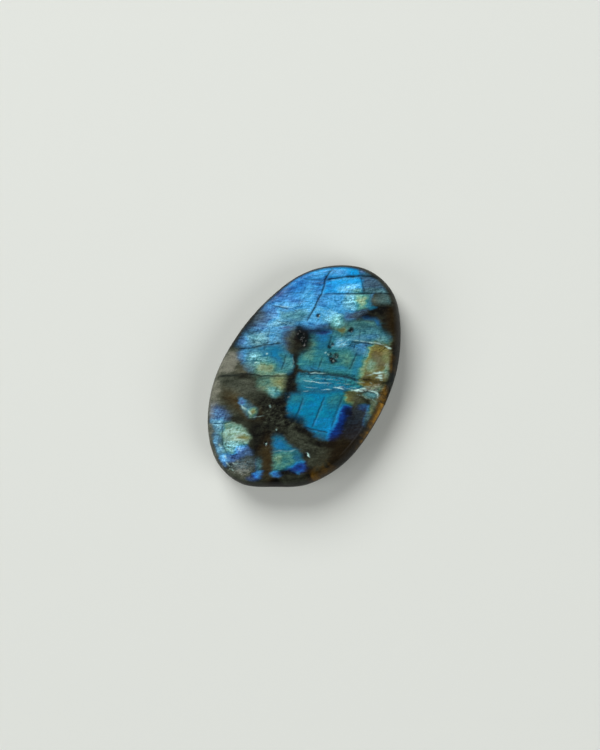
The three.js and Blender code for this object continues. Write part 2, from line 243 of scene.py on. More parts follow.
# The flash. Thin layers inside the feldspar throw back one colour each, blue where they lie
# close and gold where they lie wide apart, in patches with straight sides where a cleavage ends
# them. Each row lies over the ones before it.
FLASHES = (
    # an oval's place along and across, half-length and half-width, or an area's corners and edge
    # softness; then layer spacing, strength and paleness; last, an oval's turn and edge softness
    # the broad blue above the blotch
    (-1, 10.6, 8.4, 4.8, 0.32, 0.97, 0.25, 32, 0.2), (0.2, 12.9, 3.6, 1.4, 0.3, 0.9, 0.05, 18),
    (-3.2, 11.5, 1.6, 0.6, 0.22, 0.85, 0.18, 38), (-2.4, 10.5, 2.2, 0.6, 0.28, 0.98, 0.2, 5),
    (-1.2, 9.9, 2.6, 0.4, 0.38, 1.1, 0.34, -5), (-4.6, 8.7, 1.7, 1.1, 0.26, 0.88, 0.32, 10, 0.7),
    (-5.4, 7.4, 1.6, 0.8, 0.24, 0.76, 0.4, 10, 0.7),
    ((-3.5, 9.4), (1, 9.1), (1, 7.9), (-1.4, 7.6), (-3.2, 7.9), 0.25, 0.47, 0.86, 0.34),
    (-0.8, 8.6, 1.5, 0.5, 0.54, 0.85, 0.28), (-3, 7.4, 1.9, 0.6, 0.48, 1.16, 0.48),
    (-2.5, 6.8, 1, 0.2, 0.14, 0.8, 0.28), (0.9, 11, 1, 1.7, 0.38, 1.08, 0.24),
    # the strip left of the blotch
    ((-9.8, 4.2), (-8.4, 6.3), (-6.2, 6.6), (-3.2, 6.7), (-3, 4.6), (-5.6, 4.45), 0.25, 0.44, 0.92,
     0.52),
    (-6.4, 5.2, 1.5, 0.7, 0.6, 0.98, 0.5), (-8.7, 5.1, 1, 0.9, 0.28, 0.78, 0.34, 30),
    (-4.1, 5.6, 0.9, 1, 0.4, 0.92, 0.4),
    # the top, over and under the long crack
    ((-1.5, 14.5), (3, 13.6), (4.1, 16), (1, 16), 0.25, 0.34, 1.02, 0.08),
    (2, 14.3, 1.1, 0.5, 0.38, 1.2, 0.22, 20),
    ((3.2, 13.5), (5, 13.8), (8.1, 14), (8, 15.2), (5, 16), (3.9, 15), 0.12, 0.38, 1.02, 0),
    (4.9, 14.5, 1.1, 0.5, 0.34, 1.12, 0.3),
    ((8.1, 14), (11, 13.9), (9, 15.6), (8, 15.4), 0.15, 0.48, 0.38, 0.14),
    (8.4, 14.7, 0.3, 0.3, 0.14, 0.9, 0.4),
    ((3.2, 13.4), (5, 13.7), (8.2, 13.9), (8.8, 11.5), (2.7, 11.5), 0.12, 0.37, 1.06, 0),
    (4, 12.4, 1.2, 1, 0.33, 1, 0.05), (6.2, 13.1, 2.2, 0.6, 0.4, 1.32, 0.04, 5),
    (7, 12.2, 1.6, 0.5, 0.45, 2, 0.46), (7.7, 11.85, 0.8, 0.3, 0.68, 1.2, 0.32),
    ((8.4, 13.8), (11.2, 13.8), (12.4, 12.4), (12.6, 11.5), (8.8, 11.5), 0.12, 0.3, 0.24, 0.14),
    (10.8, 11.8, 1.5, 0.3, 0.62, 0.45, 0.34),
    # the second block, with the gold heart
    ((2.6, 11.4), (9.9, 11.3), (9.4, 9.3), (6.9, 8.9), (1.6, 8.8), 0.15, 0.34, 0.94, 0.18),
    (5.4, 10.3, 1.2, 0.9, 0.39, 1.05, 0.24), (6.8, 10.3, 0.9, 1, 0.54, 1.75, 0.5),
    ((7.5, 11.3), (9.3, 11.2), (9.4, 10.2), (8.7, 9.2), (7.8, 9.1), (7.4, 10.2), 0.3, 0.77, 1.3, 0.18),
    (9.4, 9.9, 0.5, 0.6, 0.5, 1, 0.14), (11.6, 10.5, 1.2, 0.8, 0.6, 0.38, 0.16, 0, 0.5),
    (3.4, 8.6, 2.2, 0.9, 0.41, 1, 0.26, 10), (4.1, 8.2, 0.9, 0.6, 0.45, 1.6, 0.46),
    (4.9, 7.5, 0.95, 0.8, 0.64, 1.55, 0.42, -20), (6.7, 8.2, 0.8, 0.6, 0.26, 0.55, 0.18),
    # under the black streak
    ((6.3, 7.7), (10.4, 7.6), (10.6, 6.8), (6.2, 6.7), 0.2, 0.6, 0.5, 0.06),
    (8.8, 7.2, 1.8, 0.2, 0.6, 0.5, 0.1), (9.4, 7.85, 1, 0.25, 0.34, 0.24, 0, -10),
    (10.6, 7.2, 0.3, 0.6, 0.34, 0.34, 0, 20), (5.8, 6.2, 0.9, 0.5, 0.85, 0.42, 0, 0, 0.9),
    ((6.6, 6.7), (10.8, 6.7), (11.9, 5.6), (12.3, 4.2), (10.8, 4.6), (6.8, 4.9), (6, 5.6), 0.2, 0.57,
     0.68, 0.14),
    (9, 5.2, 2, 0.4, 0.46, 0.7, 0.24), (11.3, 4.9, 0.5, 0.4, 0.62, 0.8, 0.3),
    # the teal middle
    ((0.3, 5.9), (4.6, 6.2), (6.2, 5), (9.9, 4.5), (8.3, 0), (7.6, -0.6), (3.4, 0.2), (-0.6, 0.9),
     (-0.9, 3), 0.12, 0.58, 0.86, 0.06),
    (3, 5, 1.3, 1.1, 0.42, 0.56, 0, 60), (3, 6, 1.5, 0.35, 0.24, 0.32, 0),
    (1, 3.4, 0.8, 1.2, 0.66, 0.85, 0.1, 10),
    ((4.4, 6), (5.9, 5.6), (6.2, 4.9), (4.6, 4.2), (4.3, 5.2), 0.2, 0.6, 0.8, 0.14),
    ((4.6, 5.1), (6.9, 5), (6.6, 4.2), (5.6, 3.6), (4.6, 4.2), 0.2, 0.47, 1.15, 0.34),
    ((6.8, 4.7), (9.9, 4.5), (9.6, 3.3), (9.1, 2.4), (7.4, 2.5), (6.4, 3.6), 0.2, 0.46, 0.62, 0.12),
    (8.5, 3.8, 0.8, 0.6, 0.34, 0.52, 0.16, 0, 0.8), (9, 2.7, 0.4, 0.5, 0.42, 0.76, 0.46),
    (6.1, 2.2, 1, 1.5, 0.67, 0.82, 0.08, 60),
    ((7.5, 2.5), (9.2, 2.4), (8.4, 0.4), (8.2, -0.2), (6.7, -0.2), (6.9, 1.2), 0.15, 0.51, 0.9, 0.06),
    (8.4, 1, 0.4, 1, 0.72, 0.85, 0.12, -25), (1.6, 0.9, 1.3, 0.3, 0.5, 0.95, 0.1),
    (5, 1, 1.5, 0.3, 0.5, 0.85, 0.06, -5),
    # the gold block at the right edge
    ((9.9, 4.1), (12.3, 3.8), (12.7, 1.5), (12.5, -1.1), (9.9, -0.9), (8.2, -0.9), (8.4, 0.4),
     (9.3, 2.2), 0.5, 0.92, 0.94, 0.03),
    (9.6, 1.2, 0.7, 0.8, 0.74, 0.78, 0.2, 60), (11.7, 2.6, 0.5, 1, 0.85, 0.88, 0.06),
    (12, 0.4, 0.5, 0.9, 0.81, 0.95, 0.26), (10.6, 3.7, 1.3, 0.3, 0.89, 1, 0),
    (9.5, 2.6, 1.5, 0.22, 0.87, 0.98, 0, 65),
    # the bed of the lost flake
    ((-0.8, 0.2), (3.4, 0.1), (7.6, -0.7), (8.6, -1.7), (6.8, -2.2), (2.6, -2.2), (-0.8, -2.2), 0.1,
     0.5, 0.9, 0.02),
    (0.6, -0.6, 1.3, 0.6, 0.56, 0.95, 0.1), (7.4, -1.2, 1.2, 0.5, 0.58, 0.75, 0.02),
    (9.2, -1.1, 1.1, 0.4, 0.9, 0.5, 0), (10.3, -1.8, 0.9, 0.4, 0.8, 0.6, 0.2),
    # the cyan block and the royal band beside it
    ((-2.5, -2.4), (5.6, -2.3), (6.2, -3.4), (5.5, -4.8), (4.8, -6.2), (3.8, -8.4), (3.6, -9.1),
     (2.4, -8.9), (1.2, -7.7), (0.2, -7.2), (-1.2, -6.2), (-2.2, -5.6), 0.12, 0.46, 1, 0),
    (4.7, -3.7, 1.3, 1, 0.57, 0.84, 0.03), (-0.9, -3.2, 1.3, 0.8, 0.52, 0.84, 0.03),
    (3.2, -7, 1.3, 1, 0.44, 0.92, 0), (2.8, -8.6, 1.1, 0.4, 0.44, 0.6, 0, -8),
    ((5.8, -4.3), (6.7, -4.2), (6.7, -5.2), (6.1, -6.2), (5.6, -7.4), (5.2, -8.4), (4.6, -9),
     (3.9, -8.9), (3.8, -8), (4.4, -7), (4.9, -5.9), (5.3, -5), 0.28, 0.15, 0.58, 0),
    ((6.8, -4.9), (9.2, -4.8), (9.2, -6.6), (8.3, -9), (6.9, -9.3), (5.7, -8.9), (5.8, -7.6),
     (6.5, -6.2), 0.12, 0.02, 0.12, 0.03),
    (8.7, -4.6, 0.7, 0.3, 0.26, 0.3, 0, 0, 0.7), (9.4, -4.8, 0.3, 0.3, 0.36, 0.46, 0.1),
    (9.9, -5.1, 0.4, 0.6, 0.86, 0.7, 0), (9.2, -6, 0.4, 1, 0.6, 0.22, 0.16, -20, 0.8),
    ((5.9, -3.9), (6.8, -4), (7.5, -2.5), (6.8, -2.4), (6, -3), 0.3, 0.88, 0.74, 0),
    (7.9, -3.3, 1.2, 0.6, 0.9, 0.3, 0.03, -15), (9.7, -2.9, 0.9, 0.4, 0.64, 0.65, 0.26),
    (10.4, -4.2, 0.7, 0.7, 0.8, 0.38, 0.08),
    # the left block, over and under the arched crack
    ((-9.3, 3.8), (-5.2, 4.4), (-2.8, 4.5), (-1.6, 2.9), (-1.2, 1.8), (-1.7, 0.4), (-6.9, 0.3),
     (-7.9, 0.7), (-8.6, 2), 0.15, 0.47, 0.84, 0.1),
    (-8.4, 3, 1.1, 0.9, 0.28, 0.62, 0.26), (-6.9, 2.8, 1, 0.9, 0.52, 0.84, 0.34),
    (-5.8, 2.4, 1.4, 0.8, 0.65, 1.55, 0.54), (-7.3, 1.3, 0.8, 0.9, 0.5, 0.48, 0.3, 0, 0.8),
    (-5, 3.2, 0.8, 0.7, 0.5, 0.76, 0.12), (-3.8, 3.2, 1.1, 1.1, 0.43, 0.8, 0, 40),
    ((-3.2, 2.9), (-1.7, 2.9), (-1.3, 1.8), (-1.7, 0.5), (-3.3, 0.5), (-2.9, 1.6), 0.15, 0.61, 0.82,
     0.14),
    ((-6.7, 1.5), (-5.3, 2), (-4.2, 1.3), (-3.3, 0.5), (-3, 0.1), (-6.9, 0.2), 0.5, 0.79, 0.9, 0.2),
    (-5.1, 1.1, 1.1, 0.6, 0.84, 0.9, 0.12, 0, 0.95),
    ((-6.6, -0.2), (-3, -0.1), (-2.5, -0.6), (-2.8, -1.8), (-3.4, -2.4), (-4.3, -2.5), (-5.4, -2.2),
     (-6.5, -1.4), 0.3, 0.74, 0.62, 0.12),
    ((-4.4, -0.2), (-2.9, -0.2), (-2.8, -1.2), (-3.3, -1.8), (-4.1, -1.2), 0.3, 0.84, 0.98, 0.08),
    (-4.2, -2, 0.8, 0.4, 0.68, 0.95, 0.34), (-3.9, -2.6, 0.7, 0.4, 0.6, 1.15, 0.28),
    # the lower left corner
    ((-13.3, -3.6), (-12, -3.7), (-11, -4.5), (-10.5, -5.4), (-11, -6.2), (-13.4, -6.4), 0.35, 0.2,
     0.62, 0.3),
    ((-13.2, -6.2), (-11.3, -6), (-11.3, -7.6), (-12.9, -7.8), 0.2, 0.48, 0.95, 0.66),
    ((-13.2, -7.6), (-11.5, -7.5), (-11.5, -9.8), (-11, -11), (-12.6, -10.8), 0.3, 0.38, 0.42, 0.26),
    ((-11.2, -6.5), (-10, -6.5), (-8.6, -7.1), (-7.6, -7.9), (-7.3, -8.6), (-7.8, -9.4), (-9, -10.2),
     (-10, -10.9), (-10.9, -10.6), (-11.4, -9.3), (-11.5, -7.8), 0.15, 0.77, 0.88, 0.36),
    (-9.9, -7, 1.2, 0.35, 0.72, 0.7, 0.2), (-9.8, -8.2, 1.6, 0.6, 0.78, 1.15, 0.36, -5),
    (-8.4, -8.5, 0.9, 0.4, 0.88, 0.95, 0.03, -5), (-10.1, -9.9, 1.3, 0.7, 0.67, 1.25, 0.6),
    (-8.8, -10.3, 0.9, 0.45, 0.26, 1.5, 0.5, 10), (-8.1, -10.7, 0.9, 0.4, 0.1, 0.8, 0.2, 10),
    (-9.5, -11.3, 0.9, 0.4, 0.16, 1.2, 0.22), (-11, -11.3, 0.6, 0.6, 0.36, 1.1, 0.4),
    (-10.1, -11.8, 0.5, 0.3, 0.18, 0.9, 0.2), (-11.6, -12.2, 0.6, 1.3, 0.22, 0.5, 0.28, -35),
    (-6.4, -13.8, 0.6, 0.5, 0.28, 1.55, 0.14, 25), (-7.3, -14.4, 0.6, 0.4, 0.06, 0.85, 0.12),
    (-6.2, -12.4, 0.5, 0.9, 0.6, 0.45, 0.15),
    # the fan at the lower end
    ((-4.3, -8.4), (-3.8, -8), (-3.1, -8.4), (-2.4, -9.2), (-1.5, -9.9), (-0.8, -10.4), (-0.3, -11.2),
     (0.1, -12.2), (0, -13.2), (-0.8, -13.6), (-2.2, -13.1), (-3.2, -13.3), (-4.5, -14), (-4.4, -10.7),
     0.08, 0.66, 0.78, 0.08),
    ((-4.3, -8.4), (-3.8, -8), (-3.1, -8.4), (-2.4, -9.2), (-1.5, -9.9), (-0.8, -10.5), (-4.4, -10.6),
     0.2, 0.42, 0.6, 0),
    (-3.6, -11.6, 0.6, 0.5, 0.76, 0.85, 0.12), (-0.7, -11.6, 0.5, 0.8, 0.46, 0.56, 0.04, 20, 0.8),
    (-0.4, -12.8, 0.8, 0.6, 0.12, 0.66, 0, 0, 0.9), (-1.2, -13.1, 1.1, 0.4, 0.12, 0.62, 0, 0, 0.9),
    (-3.8, -13.7, 0.6, 0.4, 0.28, 1, 0.1, 0, 0.8),
)

# The bare rock. Grey-brown feldspar that throws no colour back, and clots and veins of black
# grains in it. Here a row's values are the rock's shade, from 0 black to 1 grey, and the share
# of the flash that it hides.
BARE_ROCK = (
    # the left side
    (-7.3, 7.6, 1, 0.7, 0.46, 0.85, 45), (-6.2, 8.6, 1.1, 1.1, 0.78, 0.76, 30),
    (-7.6, 6.5, 1.3, 0.5, 0.42, 0.6),
    # a dark band along the upper left edge: olive bare rock, with painted shade where the face rounds
    # off
    ((-10.9, 3), (-9.7, 3.9), (-8.4, 5.9), (-7.1, 7.6), (-5.8, 9.3), (-4.1, 11.1), (-2, 12.9),
     (-2.4, 14.5), (-6.5, 11.5), (-9.6, 7.5), (-11.5, 4), 0.3, 0.26, 0.95),
    (-9.6, 3.9, 1.4, 0.6, 0.28, 0.9, 10),
    ((-13, 3.2), (-9.2, 3.8), (-8.4, 1.8), (-7.9, 0.5), (-13, 0.2), 0.35, 1, 0.94),
    ((-13.4, 0.1), (-9, 0.3), (-6.6, 0.1), (-6.5, -1.4), (-5.5, -2.4), (-4.8, -3.4), (-6, -5.6),
     (-10.4, -5.6), (-11.4, -4.3), (-13.4, -3.4), 0.35, 0.66, 0.97),
    (-8.7, 1.3, 0.7, 1, 0.62, 0.5, -20), (-10.9, -1, 1, 0.7, 0.56, 0.5), (-8.2, 0, 1.6, 0.4, 0.3, 0.6),
    (-9.8, -3.8, 2.8, 0.9, 0.4, 0.85, -35), (-6.2, -3.6, 1.6, 1, 0.32, 0.8, -20),
    (-8.4, -6.2, 1.6, 0.6, 0.36, 0.85, -20),
    # the blotch and the black vein that runs down from it
    (-0.8, 5.3, 2.2, 2, 0.56, 0.97, -30, 0.45), (0.1, 5.8, 1.1, 1.2, -0.12, 0.95, 10, 0.5),
    (2, 6.3, 1.5, 0.35, 0.1, 0.72, -2), (0.2, 4.6, 0.8, 1, 0.06, 0.9, 0, 0.5),
    (-0.6, 3.6, 0.7, 1.2, 0.24, 0.8, -20, 0.5), (-1, 2, 0.35, 1.4, 0.16, 0.8, -10, 0.5),
    ((-1.5, 0.9), (-0.6, 0.9), (-0.8, -0.3), (-0.5, -1.3), (-0.5, -2.4), (-2.6, -2.4), (-2.7, -1.5),
     (-2.3, -0.2), 0.3, 0.16, 0.94),
    (-2.8, -3.4, 0.7, 1, 0.14, 0.85, -40, 0.5),
    # the speckled black rock in the middle of the lower half
    ((-5.6, -2.9), (-3, -3), (-2.2, -5.4), (-1, -6.3), (0.4, -7.2), (-2.6, -8.2), (-4.4, -8.2),
     (-4.6, -11), (-7, -11), (-7.2, -8.4), (-7.8, -7.4), (-6.8, -5.4), 0.35, 0.22, 0.94),
    (-4, -6.4, 1.8, 1.4, 0.34, 0.7, -25, 0.5), (-5.6, -8.8, 1.2, 1.8, 0.16, 0.8, 0, 0.5),
    (-5.3, -12.6, 0.8, 2.8, 0.3, 0.92, 0, 0.5), (-4, -15, 0.9, 0.6, 0.02, 0.9, 0, 0.5),
    (-2.3, -13.5, 1.1, 0.45, 0.1, 0.85), (-0.9, -6.1, 1.5, 0.7, 0.14, 0.8, -28),
    # the grey rock under the cyan block and the dark lower right
    ((-2.6, -8.2), (-1.6, -6.4), (0.2, -7.3), (1.2, -7.8), (2.4, -8.9), (4, -9.4), (4, -11), (1, -12.6),
     (0.4, -11), (-0.2, -10.2), (-1.6, -9.4), 0.25, 0.5, 0.96),
    (0.3, -7.9, 1.4, 0.5, 0.14, 0.8, -25), (2.6, -9.5, 1.6, 0.5, 0.16, 0.8, -12),
    ((4, -9.4), (5.6, -8.9), (7, -9.4), (8.4, -9.2), (7, -12.5), (3, -15), (0.6, -15.6), (0.4, -13.2),
     (3.4, -12.2), 0.4, 0.06, 0.96),
    (2, -11.8, 1.4, 1.2, 0.4, 0.9, 10), (7.1, -7.6, 1.4, 2, 0.07, 0.5, -25),
    (6.3, -5.1, 0.45, 0.4, 0.05, 0.75), (5.2, -6.9, 2.4, 1, 0.02, 0, 65),
    (8.6, -3.6, 1.3, 0.3, 0.2, 0.6, -35),
    # the black streak in the upper right and the right rim
    ((9.4, 8.9), (10.2, 9.7), (11.6, 9.9), (13.2, 9.6), (13.4, 5), (12.4, 6.2), (11.3, 8), (9.8, 8.2),
     0.3, 0.14, 0.92),
    (11.2, 9.2, 1.1, 0.35, 0, 0.95, 8), (7.9, 8.5, 1.5, 0.5, 0.42, 0.85, 12),
    (9.2, 8.15, 0.9, 0.3, 0.05, 0.5, -10, 0.8), (11.8, 6.3, 0.9, 0.9, 0.16, 0.6),
    (12.9, 3, 0.35, 5, 0.18, 0.85, -6), (9.2, -0.55, 0.7, 0.3, 0.1, 0.8), (10.6, 2, 0.8, 1, 0.9, 0.45),
    (10.6, 10.5, 1.6, 0.8, 0.68, 0.55, 0, 0.95), (10.4, 12.7, 1.2, 0.7, 0.5, 0.45, 0, 0.9),
    # pits, and the rim at the left end
    (4.35, 2.1, 0.42, 0.55, 0, 0.95, 10, 0.4), (4.2, 3, 0.22, 0.3, 0, 0.9, 0, 0.4),
    (4.1, 4.1, 0.25, 0.22, 0, 0.85, 0, 0.4), (6.9, 6.3, 0.45, 0.22, 0, 0.9, 25, 0.4),
    (12.5, 10.2, 0.25, 0.15, 0, 0.9, 0, 0.4), (2.1, 8.5, 0.3, 0.25, 0.05, 0.8, 0, 0.4),
    ((-9.6, -12.2), (-7.6, -11.8), (-7.3, -13.4), (-8.4, -14.6), (-10.8, -13.6), 0.35, 0.9, 0.8),
    (-13.3, -2.5, 0.6, 4.5, 0.95, 0.5, 4, 0.5), (-12.5, -1.7, 0.9, 1.9, 0.94, 0.6, 0, 0.8),
    ((-14.6, -6.4), (-13, -6.6), (-12.8, -8.2), (-12.4, -10), (-11.9, -12), (-10.9, -13.1),
     (-12, -14.2), (-14, -12.5), (-15, -9), 0.12, 0.84, 0.9),
    (-12.3, -9.2, 0.6, 1.2, 0.62, 0.55, 8, 0.9),
)

# Flash that shows again through the bare rock: the glint at the left, a sliver between two
# black grains, and small spots along the lower left edge and by the black streak.
ROCK_FLASHES = (
    ((-9, -3.1), (-8.3, -3.1), (-6.8, -4.8), (-6.8, -5.6), (-7.5, -5.5), (-8.7, -4.3), 0.2, 0.52, 0.8,
     0.16),
    (-8.6, -3.5, 0.4, 0.4, 0.26, 0.7, 0.18), (-7.1, -5.1, 0.4, 0.5, 0.84, 0.66, 0.03, 0, 0.8),
    (-8.6, -12.2, 1.5, 0.9, 0.05, 0.14, 0.14, 0, 0.8), (-12.3, -9, 0.2, 0.5, 0.4, 0.7, 0.5, 15, 0.8),
    (-11.9, -10.1, 0.3, 0.4, 0.42, 0.8, 0.6, 30, 0.8),
    (-11.4, -11.6, 0.4, 0.5, 0.32, 1.2, 0.4, 20, 0.8), (9.9, 9.25, 0.5, 0.25, 0.46, 0.6, 0),
    (7.9, 8.5, 1, 0.3, 0.08, 0.3, 0.16, 10, 0.8),
)

# Painted highlights: the bright lines where a lip or a wall of a cleavage catches the light, and the
# glints. Each is a line of places, its half-width and its brightness.
GLEAMS = (
    # over the gold block
    ((6.8, 4.85), (8, 4.75), (9.2, 4.6), 0.05, 0.6), ((9, 4.6), (10.4, 4.38), (11.5, 4.15), 0.08, 0.9),
    ((11.5, 4.1), (12, 3.75), (12.5, 3.6), 0.09, 1),
    # along the bed of the lost flake
    ((0.8, 0.38), (2, 0.32), (3.4, 0.27), 0.05, 0.75),
    ((0, -0.72), (1.2, -0.85), (2.4, -1.05), (4.2, -1.15), 0.05, 0.8),
    ((0.1, -1.5), (1, -1.75), (2.2, -1.8), 0.05, 0.4),
    ((1.5, -0.35), (3.2, -0.5), (5.4, -0.75), 0.035, 0.35), ((4.6, -1.15), (7, -1.35), 0.035, 0.35),
    ((2.6, -2.1), (3.4, -2), (4.2, -2.02), 0.06, 0.65),
    ((4.3, -1.75), (5.2, -1.82), (6, -2.08), 0.09, 0.95),
    ((6.8, -2.2), (7.7, -2.25), (8.1, -2), (8.6, -1.95), (9.1, -2.2), 0.13, 1.1),
    ((7.6, -2.1), (8.6, -2.35), 0.1, 0.9),
    ((9.2, -2.25), (10.1, -2.4), (10.5, -2.7), (10.55, -3.4), 0.12, 1.05),
    ((0.1, -2.2), (0.8, -2.2), 0.06, 0.5), ((7.3, -0.9), (8.1, -1.15), (8.8, -1.1), 0.06, 0.55),
    ((9.3, -1), (9.8, -1.25), 0.05, 0.4), ((8.6, -1.65), (9.6, -1.75), 0.05, 0.45),
    # the glints at the foot of the gold block
    ((9.8, 0.1), (10.6, 0.2), (11.4, 0.38), 0.15, 1.1), ((8.9, -0.1), (10, -0.02), 0.05, 0.55),
    ((10.6, -0.15), (11.3, -0.2), 0.09, 0.8), ((10.2, -0.45), (10.8, -0.42), (11.4, -0.65), 0.1, 0.9),
    ((10.8, -0.78), (11.3, -0.9), 0.07, 0.7), ((8.8, -3), (9.4, -3.3), (10.3, -3.8), 0.04, 0.4),
    ((7.6, -2.8), (8.6, -3), (9.2, -3.5), 0.04, 0.35),
    # the lower left corner and the fan
    ((-11, -7.9), (-9.3, -7.75), (-8.2, -7.95), (-7.4, -8.3), 0.07, 0.65),
    ((-10.4, -8.95), (-9.2, -8.85), (-8.2, -8.9), 0.08, 0.75),
    ((-10.8, -8.4), (-8.2, -8.3), 0.045, 0.6), ((-11.2, -8.65), (-9.6, -8.6), 0.04, 0.45),
    ((-11, -7.35), (-8.9, -7.3), 0.04, 0.4), ((-10.9, -9.35), (-8.4, -9.3), 0.04, 0.4),
    ((-12.8, -7.2), (-11.6, -7), 0.06, 0.45), ((-12, -9.4), (-11.6, -9.9), 0.09, 0.55),
    ((-9.3, -9.9), (-9, -10.4), (-8.6, -10.6), 0.08, 0.55), ((-11.2, -11), (-10.9, -11.6), 0.09, 0.6),
    ((-11.1, -11.8), (-10.6, -12.4), (-10.1, -12.7), 0.06, 0.6),
    ((-10.1, -12.1), (-9.6, -12.3), (-9.2, -12.1), 0.06, 0.55),
    ((-10.6, -12.8), (-10, -13.1), (-9.7, -13.5), 0.04, 0.45),
    ((-9.2, -13.2), (-8.6, -13.8), 0.04, 0.35),
    ((-4.3, -10.7), (-3.4, -10.5), (-1.6, -10.62), (-0.8, -10.3), 0.09, 0.32),
    ((0.55, -10.75), (0.75, -11.1), (1, -11.5), 0.11, 1), ((-5.15, -9.4), (-5.15, -9.65), 0.1, 0.95),
    ((-3.75, -11.4), (-3.65, -11.5), 0.1, 0.45),
    # the glint in the rock
    ((-8.8, -3.95), (-8.5, -4.35), (-7.9, -4.65), 0.09, 0.85),
    ((-7.75, -4.75), (-7.5, -5.1), (-7.2, -5.45), 0.1, 0.9), ((-4.7, -4.1), (-4.5, -4.5), 0.07, 0.6),
    ((-3.8, -7.4), (-3.6, -7.7), 0.08, 0.55), ((-8, -5.8), (-6.6, -5.7), (-5.4, -5.62), 0.04, 0.4),
    # the left block
    ((-6.9, 1.88), (-6.5, 1.95), (-6.1, 1.85), 0.07, 0.85), ((-5.15, 3.05), (-4.95, 3.3), 0.09, 0.85),
    ((-4.2, 0.45), (-3.2, 0.3), (-2.2, 0.35), 0.05, 0.6), ((-3.4, -1.4), (-3.1, -1.7), 0.09, 0.5),
    ((-4.6, -2.5), (-4, -2.75), 0.05, 0.6), ((-1.45, 2.6), (-1.25, 1.8), (-1.6, 0.9), 0.04, 0.45),
    # the blue
    ((-4.1, 10.15), (-2.9, 9.85), (-1.2, 9.6), 0.07, 0.45), ((0.9, 13.15), (3, 13), 0.05, 0.35),
    ((3.3, 13.25), (6, 13.55), (8.1, 13.65), 0.04, 0.3), ((-5, 8.3), (-3.2, 8.25), 0.04, 0.3),
    ((-6.9, 4.85), (-6, 4.7), 0.05, 0.45), ((-7.2, 5.9), (-5.4, 6.05), 0.04, 0.3),
    ((5, 11.2), (8.4, 11.22), 0.05, 0.35), ((2.3, 8.45), (2.45, 8.35), 0.09, 0.8),
    ((4.9, 7.7), (5.3, 7.4), 0.1, 0.4), ((5, 4.8), (5.7, 4.9), (6.3, 4.6), 0.04, 0.5),
    ((5.2, 4.2), (5.9, 4.5), (6.6, 4.9), 0.05, 0.5), ((5, 3.9), (5.8, 4.05), (6.4, 4.3), 0.04, 0.45),
    ((5.4, 4.9), (5.6, 4.3), (5.3, 3.8), 0.04, 0.35), ((3.1, 3.2), (3.4, 3.1), 0.08, 0.5),
    ((3.5, 2.95), (3.8, 2.8), 0.07, 0.45), ((4.25, 2.2), (4.45, 1.9), 0.07, 0.3),
)

# Painted glow along the thin rims, where light comes through them amber from iron in the rock: a
# line of places, its half-width and its strength. The same iron stains patches of the bare rock,
# and where dark grains crowd, the rock is speckled; those rows hold a strength alone.
GLOWING_AMBER_RIMS = (
    ((11.6, -1.4), (11.2, -3.2), (10.6, -5), (9.9, -6.7), (9, -8.3), (8, -9.8), (7.2, -10.9), 0.42,
     1.25),
    ((5, -12.9), (2.6, -14.2), (0.8, -15.2), 1, 0.36), ((1, -14.2), (2.4, -14.4), 0.6, 0.6),
    ((12.6, 3), (12.4, 0.2), 0.35, 0.45),
)
STAINS = (
    (-9, -3.8, 2.8, 1, 0.12, -35), (-7.6, 0.9, 1.6, 0.6, 0.09), (-1.6, 5.2, 1.6, 1.8, 0.02, -20),
    (-5, -11.6, 1, 2.6, 0.1), (6.4, -10.4, 4.6, 2.2, 0.04, 32, 0.5), (11, 3.6, 0.8, 1, 0.19),
    (9.6, -1.2, 1.2, 0.7, 0.22), (-3.3, -0.8, 0.7, 0.8, 0.15, 70), (12.9, 7.4, 1, 3.2, 0.06),
)
SPECKLES = (
    (-3.4, -5.4, 3.4, 2.2, 1, -25, 0.5), (-3.8, -8.2, 2, 1.6, 0.7, 0, 0.5),
    (-9.4, -12.2, 3, 1.6, 1, -28, 0.5), (-0.2, 5.2, 1.4, 2, 0.3, -10, 0.5),
    (1.2, -9.8, 2.4, 1.2, 0.45, -22), (-1.4, -0.8, 0.8, 1.6, 0.6, -10), (11, 9.1, 1.7, 0.6, 0.7, 8),
    (4.9, 2.3, 1, 1.4, 0.5), (-1.7, -13.3, 1.3, 0.7, 0.8, 5),
)


# How the patches and lines lie on the face. A patch's edge wanders and fades, as the layers do
# under the polish. A line thins towards its ends and breaks up where the grain crosses it.
USUAL_SOFTNESS = 0.6
OVAL_FADE, OVAL_FADE_MOST = (0.08, 1.25), 0.95
AREA_FADE = (0.12, 2.2)
UNMARKED_SPACING, UNMARKED_SHADE = 0.5, 0.4
PIT_REACH, PIT_DARKNESS = 1.6, 0.75
# the shift and the brightness of a painted highlight along one lip of each crack
LIP_SHIFT, LIP_BRIGHTNESS = (0.13, -0.15), 0.07
FEATHER, FEATHER_STRETCH = 0.14, 11
# each step of a wander has its distance, its cell size and its seed
ALONG_WANDER = ((0.25, 1.1, 1), (0.1, 0.3, 2))
ACROSS_WANDER = ((0.18, 1.3, 3), (0.08, 0.3, 4))
LINE_ALONG_WANDER = ((0.05, 0.35, 7),)
LINE_ACROSS_WANDER = ((0.06, 0.45, 8),)


def wandered(place, x, y, steps):
    for distance, cell, seed in steps:
        place = place + distance * drift(x, y, cell, seed)
    return place


